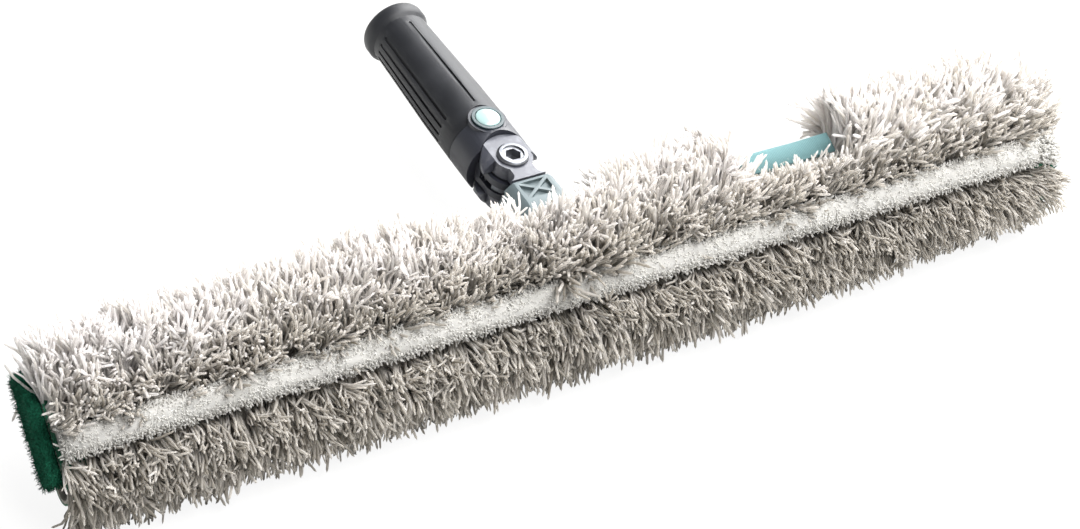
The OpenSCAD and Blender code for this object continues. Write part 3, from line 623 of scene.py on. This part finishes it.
class ScrubberPile(bpy.types.Operator):
    """Tufts the grey-brown pile all round the sleeve, apart from the stripe"""
    bl_idname = "scrubber.pile"
    bl_label = "Grey pile"

    def execute(self, context):
        settings = context.scene.scrubber_pile
        draw = np.random.default_rng(settings.seed)
        gap, n = settings.tuft_gap, settings.strands
        s, x = self.tufts(draw, gap)
        centre, normal = section(s)
        centre[:, 0] = x
        up = s > STRIPE_MID
        # The upper side is tangled near its left end
        tangle = np.where(up, ramp(-x, 140 * MM, 40 * MM), 0)
        side, tuft_way = self.combed(draw, s, x, normal, tangle)
        curl = unit(side + 0.8 * draw.normal(0, 1, side.shape))
        # Strands towards the handle's side get a paler tone, painted light that makes the upper side
        # look more brightly lit, and the tangled upper left end gets a little painted light too
        handle_side_painted_light = ramp(s - STRIPE_MID, 7 * MM, 12 * MM)
        tuft_tone_and_painted_light = draw.normal(0.33, 0.07, s.size) + 0.5 * handle_side_painted_light + 0.15 * tangle
        size = draw.normal(1, 0.07, s.size) * self.growth(x, up, handle_side_painted_light)
        # The strands of a tuft start round its middle and draw together into a lock
        spread = draw.uniform(-STRAND_SPREAD, STRAND_SPREAD, (s.size, n, 2)) * gap
        strand_s = once_round(s[:, None] + spread[..., 0]).ravel()
        strand_x = (x[:, None] + spread[..., 1]).ravel()
        roots, _ = section(strand_s)
        roots[:, 0] = np.clip(strand_x, -SLEEVE_END + 0.5 * MM, SLEEVE_END - 0.5 * MM)
        count = strand_s.size
        lengths = settings.length * np.repeat(size, n) * draw.uniform(0.76, 1.06, count)
        way = np.repeat(tuft_way, n, axis=0)
        way = way + LOCK_PULL * (np.repeat(centre, n, axis=0) - roots) / lengths[:, None]
        way = unit(way + WAY_STRAY * draw.normal(0, 1, way.shape))
        bending = np.repeat(curl, n, axis=0) + CURL_STRAY * draw.normal(0, 1, way.shape)
        # A strand's tone is its tuft's, painted light included, with its own stray of dye
        tones = np.clip(np.repeat(tuft_tone_and_painted_light, n) + draw.normal(0, TONE_STRAY, count), 0, 1)
        way, lengths, keep = self.parted(strand_s, roots, way, lengths)
        templates = [strand(bend, wave, root_r, 0.026, 4, (0.34, 0.32, 0.28, 0.06))
                     for bend in (0.2, 0.6, 1.1) for wave in (-0.14, 0.14)
                     for root_r in (0.031, 0.041)]
        kind = draw.integers(0, len(templates), count)
        yarn = tinted_yarn("acrylic yarn, grey-brown mix", [
            (0.0, settings.dark), (0.45, settings.mid), (1.0, settings.light)], 0.1, 0.6)
        roots, way, bending = on_bar(roots), to_world(way), to_world(bending)
        # The longest strands are trimmed to the top and the ends that the whole pile is cut to
        for axis, limit in ((0, PILE_REACH), (2, PILE_TOP)):
            outward = np.maximum(way[:, axis] * np.sign(roots[:, axis]), 0.05)
            lengths = np.minimum(lengths, (limit - np.abs(roots[:, axis])) / outward)
        for piece in grow_pieces("pile", 9, yarn, templates, kind[keep], roots[keep], way[keep],
                                 bending[keep], lengths[keep], tones[keep]):
            declare(piece, "tool", "grey_pile", "pile_wrap")
        return {"FINISHED"}

    def tufts(self, draw, gap):
        """Where the tufts stand: round the section and along the bar, in loose staggered rows."""
        rows = int(round(2 * HALF_ROUND / gap))
        columns = int(round(2 * SLEEVE_END / gap))
        row, column = (a.ravel() for a in np.meshgrid(np.arange(rows), np.arange(columns),
                                                      indexing="ij"))
        s = (row + 0.5) * 2 * HALF_ROUND / rows - HALF_ROUND
        s = once_round(s + draw.uniform(-0.4, 0.4, s.size) * gap)
        x = (column + 0.5 * (row % 2)) * 2 * SLEEVE_END / columns - SLEEVE_END
        x = x + draw.uniform(-0.4, 0.4, x.size) * gap
        clear = np.abs(s - STRIPE_MID) > STRIPE_W / 2 + 0.2 * MM
        clear &= np.abs(x) < SLEEVE_END - 0.8 * MM
        return s[clear], x[clear]

    def combed(self, draw, s, x, normal, tangle):
        """Which way along the cloth each tuft is combed, and which way it points. The lower side
        is combed down flat, the upper one is brushed up and tangled."""
        up = s > STRIPE_MID
        # Every tuft leans away from the stripe, most on the flats and least round the edges
        away = np.where(up, 1.0, -1.0)
        tangent = np.stack([0 * s, normal[:, 2], -normal[:, 1]], axis=-1) * away[:, None]
        on_flat = ramp(np.abs(s - STRIPE_MID), STRIPE_W / 2, 14 * MM) * normal[:, 2] ** 2
        rough = np.where(up, 1 + 0.8 * tangle * np.clip(normal[:, 2], 0, 1), 0.4)
        lean = np.where(up, np.radians(UPPER_LEAN[0] + UPPER_LEAN[1] * on_flat),
                        np.radians(LOWER_LEAN[0] + LOWER_LEAN[1] * on_flat))
        lean = lean + rough * draw.normal(0, np.radians(LEAN_SCATTER), s.size)
        ends = 2 * ramp(x, SLEEVE_END - 50 * MM, 50 * MM) - ramp(x, -SLEEVE_END, 45 * MM)
        turn = np.radians(np.where(up, UPPER_TURN * x / SLEEVE_END, LOWER_TURN * ends))
        turn = turn + rough * draw.normal(0, np.radians(TURN_SCATTER), s.size)
        side = tangent * np.cos(turn)[:, None] + ALONG_BAR * np.sin(turn)[:, None]
        way = normal * np.cos(lean)[:, None] + side * np.sin(lean)[:, None]
        # Strands reach out past the right end. At the left end they are pressed inward, most on
        # the back, under the tool's weight, and only the lower side reaches out a little
        at_right = np.where(normal[:, 2] > 0.2, 0.85, 0.45)
        at_left = np.select([normal[:, 2] < -0.2, up], [0.8, 0.3], -0.15)
        push = np.where(x > 0, at_right, at_left) * ramp(np.abs(x), SLEEVE_END - 24 * MM, 24 * MM)
        return side, unit(way + ALONG_BAR * push[:, None])

    def growth(self, x, up, handle_side_painted_light):
        """Shares of the strands' length. Above the stripe it is brushed longer at the right and
        shorter to the left of the neck, and below the stripe it is worn shorter at the right."""
        right = np.clip(x / SLEEVE_END, 0, 1)
        beside_neck = np.exp(-((x + 38 * MM) / (22 * MM)) ** 2)
        above = 1 + handle_side_painted_light * (0.08 + 0.4 * np.sin(2.2 * right) ** 2 - 0.28 * beside_neck)
        return np.where(up, above, 0.95 - 0.28 * ramp(right, 0.25, 0.75))

    def parted(self, s, roots, way, lengths):
        """Leaves the neck's opening free and parts the pile over the neck and the tab."""
        x, y = roots[:, 0], roots[:, 1]
        keep = ~in_neck(roots, 1 * MM)
        edge = CORE_HALF_W - CORE_R
        by_neck = (x > -NECK_FOOT - 6 * MM) & (x < NECK_TOP + 3 * MM) & (s > 0)
        by_tab = (x > TAB_FROM - 4 * MM) & (x < TAB_TO + 1.5 * MM) & (s > 0)
        keep &= ~(by_neck & (s > edge + 2 * MM) & (x > -NECK_TOP - 3 * MM))
        keep &= ~(by_tab & (s > edge - 1.5 * MM) & (s < HALF_ROUND - edge))
        # Beside the neck the strands lean over its foot, and beside the tab away from it
        tab_mid = (TAB_FROM + TAB_TO) / 2
        for mid, half, at_left, at_right in ((0.0, NECK_FOOT, 0.05, -0.35),
                                             (tab_mid, tab_mid - TAB_FROM, -0.6, 0.6)):
            off = (np.abs(x - mid) - half) / (9 * MM)
            near = np.where((off > 0) & (s > 8 * MM), np.clip(1 - off, 0, 1), 0)
            turned = np.where(x > mid, at_right, at_left) * near
            way = unit(way + ALONG_BAR * turned[:, None])
        # In front of both, a strand's tip stays below a line across the sleeve
        for near, line, most in ((by_neck, NECK_LAP + 0.12 * x, 1.25), (by_tab, edge - 3 * MM, 1)):
            room = (line - y) / np.maximum(way[:, 1], 0.05)
            front = near & (s < HALF_ROUND / 2)
            lengths = np.where(front, np.clip(room, 5 * MM, most * lengths), lengths)
        return way, lengths, keep


class ScrubberStripe(bpy.types.Operator):
    """Makes the straight white stripe of short, dense pile"""
    bl_idname = "scrubber.stripe"
    bl_label = "White stripe"

    def execute(self, context):
        settings = context.scene.scrubber_pile
        draw = np.random.default_rng(settings.seed + 1)
        yarn = tinted_yarn("acrylic yarn, white", [
            (0.0, srgb("#e9e7e3")), (1.0, settings.white)], 0.02, 0.55)
        count = 15000
        s = STRIPE_MID + draw.uniform(-0.5, 0.5, count) * STRIPE_W
        roots, normal = section(s)
        roots[:, 0] = draw.uniform(-1, 1, count) * (SLEEVE_END - 0.8 * MM)
        # The strands start inside the dense body of the stripe and only their ends come out of it
        across = (s - STRIPE_MID) / (STRIPE_W / 2)
        short = ramp(SLEEVE_END - np.abs(roots[:, 0]), 0, 10 * MM)
        crown = settings.stripe_h * (0.9 - 0.22 * across ** 4) * (0.55 + 0.45 * np.sqrt(short))
        lengths = draw.uniform(2.8, 3.8, count) * MM
        roots = roots + normal * (crown - 2.8 * MM)[:, None]
        way = normal + 0.3 * draw.normal(0, 1, normal.shape)
        way[:, 1] += 0.5 * across
        ends = np.where(roots[:, 0] > 0, 1.1, -0.35) * (1 - short)
        way = way + ALONG_BAR * ends[:, None]
        lengths = lengths * (1 + 1.6 * (1 - short) * (roots[:, 0] > 0))
        bending = draw.normal(0, 1, normal.shape)
        tones = np.clip(draw.normal(0.7, 0.16, count), 0, 1)
        templates = [strand(bend, wave, 0.14, 0.08, 3, (0.5, 0.35, 0.15))
                     for bend in (0.6, 1.2, 1.8) for wave in (-0.1, 0.1)]
        kind = draw.integers(0, len(templates), count)
        for piece in grow_pieces("stripe", 2, yarn, templates, kind, on_bar(roots), to_world(way),
                                 to_world(bending), lengths, tones):
            declare(piece, "tool", "white_pile", "stripe_pile")
        declare(self.body(settings, yarn), "tool", "white_pile", "stripe_pile")
        return {"FINISHED"}

    def body(self, settings, yarn):
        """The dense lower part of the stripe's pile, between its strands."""
        shape = bmesh.new()
        bmesh.ops.create_grid(shape, x_segments=240, y_segments=10, size=1)
        for vert in shape.verts:
            x, across = vert.co.x * (SLEEVE_END - 1.5 * MM), vert.co.y
            short = min(1, (SLEEVE_END - abs(x)) / (10 * MM))
            crown = settings.stripe_h * (0.87 - 0.26 * across ** 4) * (0.5 + 0.5 * math.sqrt(short))
            crown += 0.7 * MM * noise.noise(Vector((x / (4 * MM), across * 1.6, 3)))
            vert.co = Vector((x, STRIPE_MID + across * STRIPE_W * 0.49, CORE_HALF_T + crown))
        # The rim goes down to the backing
        rim = [e for e in shape.edges if e.is_boundary]
        for vert in extruded(shape, rim)[0]:
            vert.co.z = CORE_HALF_T + 0.1 * MM
        bmesh.ops.holes_fill(shape, edges=[e for e in shape.edges if e.is_boundary])
        bmesh.ops.recalc_face_normals(shape, faces=shape.faces)
        bmesh.ops.transform(shape, verts=shape.verts, matrix=BAR_FRAME)
        piece = from_bmesh("stripe_body", shape, yarn)
        mark_tone(piece.data, 0.6)
        return piece


class ScrubberSleeve(bpy.types.Operator):
    """Makes the sleeve's woven backing, its binding tapes, its closure and its tab"""
    bl_idname = "scrubber.sleeve"
    bl_label = "Backing, tapes and tab"

    def execute(self, context):
        settings = context.scene.scrubber_sleeve
        backing_t, binding_w, binding_t = 1.2 * MM, 10.2 * MM, 0.8 * MM
        cloth = woven("woven polyester backing", settings.backing, 1.1 * MM, 1.1 * MM)
        backing = wrapped("backing", (-HALF_ROUND, HALF_ROUND), (-SLEEVE_END, SLEEVE_END),
                          -backing_t, backing_t, 2.4 * MM, cloth)
        declare(backing, "tool", "backing_cloth", "sleeve_backing")
        tape = woven("polyester grosgrain tape", settings.binding, 1.0 * MM, 1.6 * MM)
        for side, name in ((-1, "left"), (1, "right")):
            ends = sorted((side * SLEEVE_END, side * (SLEEVE_END - binding_w)))
            binding = wrapped("binding_" + name, (-HALF_ROUND, HALF_ROUND), ends, 0, binding_t,
                              1.5 * MM, tape)
            declare(binding, "tool", "binding_tape", "end_binding_" + name)
        self.closure()
        self.tab(settings)
        return {"FINISHED"}

    def closure(self):
        """Hook and loop tapes, one on the other, on the back face by the handle-side edge."""
        width, layer = 14 * MM, 0.9 * MM
        around = HALF_ROUND - (CORE_HALF_W - CORE_R)
        span = (28 * MM, SLEEVE_END - 15 * MM)
        for name, colour, pitch, lift in (("loop", "#4a4d50", 0.9 * MM, 0),
                                          ("hook", "#5d6164", 1.4 * MM, layer)):
            tape = woven(f"nylon {name} tape", srgb(colour), pitch, pitch, 0.4)
            strip = wrapped(name + "_strip", (around, around + width), span, lift, layer,
                            1.4 * MM, tape)
            declare(strip, "tool", name + "_tape", f"closure_{name}_strip")

    def tab(self, settings):
        """A tape folded over once and stitched down by its foot."""
        tape = woven("woven tab tape", settings.tab, 0.8 * MM, 0.6 * MM, 0.15)
        layer = 0.6 * MM
        bend = (TAB_T - layer) / 2
        shape = bmesh.new()
        path = [(0, TAB_T - layer / 2)]
        path += [(TAB_H - bend - layer / 2 + bend * math.sin(a), TAB_T / 2 + bend * math.cos(a))
                 for a in (math.pi * i / 8 for i in range(9))]
        path.append((0, layer / 2))
        row = [shape.verts.new((0, y, z)) for y, z in path]
        edges = [shape.edges.new(pair) for pair in zip(row, row[1:])]
        cells = 36
        for _ in range(cells):
            row, edges = extruded(shape, edges)
            bmesh.ops.translate(shape, verts=row, vec=((TAB_TO - TAB_FROM) / cells, 0, 0))
        map_cloth(shape, lambda vert: (
            vert.co.x, vert.co.y + (2 * TAB_H if vert.co.z < TAB_T / 2 else 0)))
        for vert in shape.verts:
            # Its free fold waves a little, by a third of a millimetre
            share = vert.co.y / TAB_H
            vert.co.z += 0.35 * MM * share * math.sin(vert.co.x / (6.5 * MM))
            vert.co.x += TAB_FROM
        bmesh.ops.transform(shape, verts=shape.verts, matrix=(
            BAR_FRAME @ Matrix.Translation((0, CORE_HALF_W - CORE_R, CORE_HALF_T - CORE_R))
            @ Matrix.Rotation(-TAB_LEAN, 4, "X")
            @ Matrix.Translation((0, -TAB_FOOT, CORE_R + 0.05 * MM))))
        piece = from_bmesh("tab", shape, tape)
        thicken(piece, layer)
        declare(piece, "tool", "tab_tape", "loop_tab")


class ScrubberPads(bpy.types.Operator):
    """Makes the scouring pads on the sleeve's ends, with their tangled fibres"""
    bl_idname = "scrubber.pads"
    bl_label = "Scouring pads"

    def execute(self, context):
        settings = context.scene.scrubber_sleeve
        # Starts the lumps of both slabs, which would otherwise follow the clock
        noise.seed_set(9)
        fleece = scouring_fleece("nylon scouring fleece", settings.pad)
        for side, name in ((-1, "left"), (1, "right")):
            pad = self.slab(side, name, fleece)
            declare(pad, "tool", "scouring_fleece", "end_pad_" + name)
            fibres = self.fibres(side, name, fleece)
            declare(fibres, "tool", "scouring_fleece", "end_pad_" + name)
        return {"FINISHED"}

    def placed(self, side):
        """From a pad's own middle to the sleeve's end."""
        return BAR_FRAME @ Matrix.Translation(
            (side * (SLEEVE_END + PAD_T / 2), CORE_HALF_W - PAD_W / 2, 0))

    def slab(self, side, name, fleece):
        shape = bmesh.new()
        bmesh.ops.create_cube(shape, size=1)
        bmesh.ops.scale(shape, verts=shape.verts, vec=(PAD_T, PAD_W, 2 * CORE_HALF_T))
        bmesh.ops.bevel(shape, geom=shape.edges, offset=1.6 * MM, segments=3, profile=0.5,
                        affect="EDGES", material=-1)
        bmesh.ops.subdivide_edges(shape, edges=shape.edges, cuts=3, use_grid_fill=True)
        for vert in shape.verts:
            # The slab's two faces swell a little in their middle, and its skin is lumpy
            y = vert.co.y / (PAD_W / 2)
            outward = max(-1, min(1, vert.co.x / (0.5 * MM)))
            vert.co.x += 0.15 * MM * (1 - y * y) * outward
            lumps = noise.noise_vector(vert.co / (2.2 * MM) + Vector((side * 7, 0, 0)))
            vert.co += 0.25 * MM * lumps
        bmesh.ops.recalc_face_normals(shape, faces=shape.faces)
        bmesh.ops.transform(shape, verts=shape.verts, matrix=self.placed(side))
        return from_bmesh("pad_" + name, shape, fleece)

    def fibres(self, side, name, fleece):
        """Stiff fibres about 2.5 mm long that stick out of the slab."""
        draw = np.random.default_rng(40 + side)
        size = np.array([PAD_T, PAD_W, 2 * CORE_HALF_T]) / 2
        areas = np.array([size[1] * size[2], size[0] * size[2], size[0] * size[1]])
        count = 3600
        axis = draw.choice(3, count, p=areas / areas.sum())
        sign = draw.choice([-1.0, 1.0], count)
        roots = draw.uniform(-0.96, 0.96, (count, 3)) * size
        normal = np.zeros((count, 3))
        normal[np.arange(count), axis] = sign
        roots[np.arange(count), axis] = sign * (size[axis] - 0.35 * MM)
        way = 0.45 * normal + draw.normal(0, 0.6, (count, 3))
        templates = [strand(bend, 0.1, 0.05, 0.03, 3, (0.35, 0.35, 0.3)) for bend in (0.8, 1.6)]
        kind = draw.integers(0, 2, count)
        matrix = np.array(self.placed(side))
        grown = plant(templates, kind, roots, way, normal + draw.normal(0, 0.5, (count, 3)),
                      draw.uniform(1.8, 3.0, count) * MM)
        grown = [p @ matrix[:3, :3].T + matrix[:3, 3] for p in grown]
        mesh = pile_mesh("pad_fibres_" + name, templates, kind, grown, np.full(count, 0.5))
        return add_object("pad_fibres_" + name, mesh, fleece)


class ScrubberHardware(bpy.types.Operator):
    """Finishes the rigid pieces"""
    bl_idname = "scrubber.hardware"
    bl_label = "Rigid pieces"

    def execute(self, context):
        settings = context.scene.scrubber_handle
        record = frame["record"]
        slots = {p["node"]: p["material_slot"] for p in record["subparts"]}
        bodies = {n: b for b, nodes in record["behaviour"]["bodies"].items() for n in nodes}
        finishes = {
            "moulded_bar": moulded("moulded polypropylene", settings.bar, 0.5, 0.5 * MM, 0.06 * MM),
            "plug_plastic": moulded("moulded polyethylene", srgb("#3b4044"), 0.5, 0.5 * MM,
                                    0.05 * MM),
            "ear_lacquer": lacquered("lacquered zinc casting", settings.ears),
            "plate_steel": rolled_steel("stamped stainless steel", srgb("#6d7075"), 0.4,
                                        (1, 0.05, 1)),
            "bright_steel": turned_steel("turned stainless steel", srgb("#7f8186")),
            "zinc_steel": rolled_steel("zinc-plated steel", srgb("#8d9095"), 0.42, (1, 1, 1)),
            "acetal": moulded("turned black acetal", srgb("#232427"), 0.35, 0.3 * MM, 0.02 * MM),
            "handle_nylon": moulded("glass-filled nylon", settings.nylon, 0.42, 0.45 * MM,
                                    0.05 * MM),
            "grip_rubber": moulded_rubber("moulded thermoplastic rubber", settings.rubber),
            "bezel_plastic": moulded("moulded ABS, bezel", settings.bezel, 0.42, 0.6 * MM,
                                     0.02 * MM, 0.1),
            "button_plastic": moulded("moulded ABS, button", settings.button, 0.22, 0.6 * MM,
                                      0.015 * MM, 0.5),
            "spring_steel": rolled_steel("music wire", srgb("#b0b3b8"), 0.3, (1, 1, 0.2)),
        }
        for node, slot in slots.items():
            if slot in finishes:
                eased_copy(node, bodies[node], slot, finishes[slot])
        return {"FINISHED"}


class ScrubberStage(bpy.types.Operator):
    """Makes the camera, the floor and the lights"""
    bl_idname = "scrubber.stage"
    bl_label = "Stage"

    def execute(self, context):
        settings = context.scene.scrubber_stage
        self.camera(context, settings)
        self.floor(settings)
        self.lights(context, settings)
        return {"FINISHED"}

    def camera(self, context, settings):
        # Fitted to the photograph: the picture's right and depth, and the place from the bar
        right = Vector((0.8444, -0.5062, 0.1751))
        back = Vector((-0.4736, -0.5528, 0.6856)).normalized()
        up = back.cross(right).normalized()
        right = up.cross(back)
        place = BAR + Vector((-559.8, -624.8, 790.3)) * MM
        data = bpy.data.cameras.new("Camera")
        data.sensor_width = 36
        data.lens = settings.lens
        data.clip_start = 0.01
        camera = bpy.data.objects.new("Camera", data)
        turn = Matrix((right, up, back)).transposed().to_4x4()
        camera.matrix_world = Matrix.Translation(place) @ turn
        context.scene.collection.objects.link(camera)
        context.scene.camera = camera

    def floor(self, settings):
        """Matt painted board. The camera sees its shadow lightened, as on a lit studio table."""
        shape = bmesh.new()
        bmesh.ops.create_grid(shape, x_segments=1, y_segments=1, size=6.0)
        board, tree, _ = blank_material("matt painted board")
        ray = add(tree, "LightPath")
        share = add(tree, "MapRange", {"Value": ray, "To Min": 0.0, "To Max": 0.8})
        matt = add(tree, "BsdfPrincipled", {
            "Base Color": rgba(settings.floor), "Roughness": 0.9, "Specular IOR Level": 0.1})
        lit = add(tree, "Emission", {"Color": (1, 1, 1, 1), "Strength": 1.12})
        mixed = add(tree, "MixShader", {"Fac": share, 1: matt, 2: lit})
        add(tree, "OutputMaterial", {"Surface": mixed})
        from_bmesh("floor", shape, board, smooth=False)

    def lights(self, context, settings):
        scene = context.scene
        scene.view_settings.view_transform = "Standard"
        world = bpy.data.worlds.new("Soft white room")
        world.use_nodes = True
        world.node_tree.nodes.clear()
        tree = world.node_tree
        ray = add(tree, "LightPath")
        level = add(tree, "MapRange", {
            "Value": ray, "To Min": settings.room * settings.light,
            "To Max": 1.0})
        sky = add(tree, "Background", {"Color": (1, 1, 1, 1), "Strength": level})
        add(tree, "OutputWorld", {"Surface": sky})
        scene.world = world
        for name, place, size, power in (
                ("key", Vector((1.2, 0.4, 1.25)), 1.7, 62.0),
                ("rim", Vector((1.35, 1.0, 0.7)), 1.8, 40.0),
                ("top", Vector((0.4, -0.6, 1.9)), 1.4, 46.0)):
            data = bpy.data.lights.new(name, "AREA")
            data.shape = "DISK"
            data.size = size
            data.energy = power * settings.light
            lamp = bpy.data.objects.new(name, data)
            lamp.location = place
            lamp.rotation_mode = "QUATERNION"
            lamp.rotation_quaternion = (PIVOT - place).to_track_quat("-Z", "Y")
            scene.collection.objects.link(lamp)


class ScrubberPanel(bpy.types.Panel):
    """Lists the scrubber's steps"""
    bl_idname = "VIEW3D_PT_scrubber"
    bl_label = "Window scrubber"
    bl_space_type = "VIEW_3D"
    bl_region_type = "UI"
    bl_category = "Scrubber"

    def draw(self, context):
        for step in STEPS:
            self.layout.operator(step.bl_idname)


STEPS = (ScrubberStage, ScrubberHardware, ScrubberSleeve, ScrubberPads, ScrubberPile,
         ScrubberStripe)
SETTINGS = {"scrubber_stage": StageSettings, "scrubber_pile": PileSettings,
            "scrubber_sleeve": SleeveSettings, "scrubber_handle": HandleSettings}


def register():
    for kind in (*SETTINGS.values(), *STEPS, ScrubberPanel):
        bpy.utils.register_class(kind)
    for name, kind in SETTINGS.items():
        setattr(bpy.types.Scene, name, PointerProperty(type=kind))


def unregister():
    for name in SETTINGS:
        delattr(bpy.types.Scene, name)
    for kind in reversed((*SETTINGS.values(), *STEPS, ScrubberPanel)):
        bpy.utils.unregister_class(kind)


def main():
    register()
    bpy.ops.scrubber.stage()
    bpy.ops.scrubber.hardware()
    bpy.ops.scrubber.sleeve()
    bpy.ops.scrubber.pads()
    bpy.ops.scrubber.pile()
    bpy.ops.scrubber.stripe()


if __name__ == "__main__":
    main()
